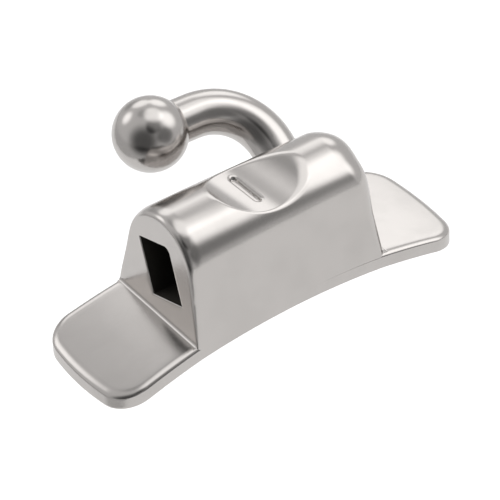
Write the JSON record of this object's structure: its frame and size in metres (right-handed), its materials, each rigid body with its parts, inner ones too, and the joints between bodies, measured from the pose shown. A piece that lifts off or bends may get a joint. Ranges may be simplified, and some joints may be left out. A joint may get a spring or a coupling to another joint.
{
  "type": "buccal tube",
  "caption": "Cast orthodontic tube for a molar: an arched bonding base under a rounded body with a torqued rectangular wire slot, a thumb dish on top, and a curved hook ending in a ball.",
  "frame": {"origin": "middle of the bonding base seen from above, at the height of the base's lower end, on the tooth side", "axes": "+X along the slot, from the open near end to the far end; +Y across the tube towards the hook; +Z away from the tooth"},
  "size_m": [0.005, 0.0027, 0.0024],
  "materials": {
    "stainless_steel": "polished"
  },
  "bodies": {
    "root": {"buccal_tube": "stainless_steel"}
  },
  "joints": []
}
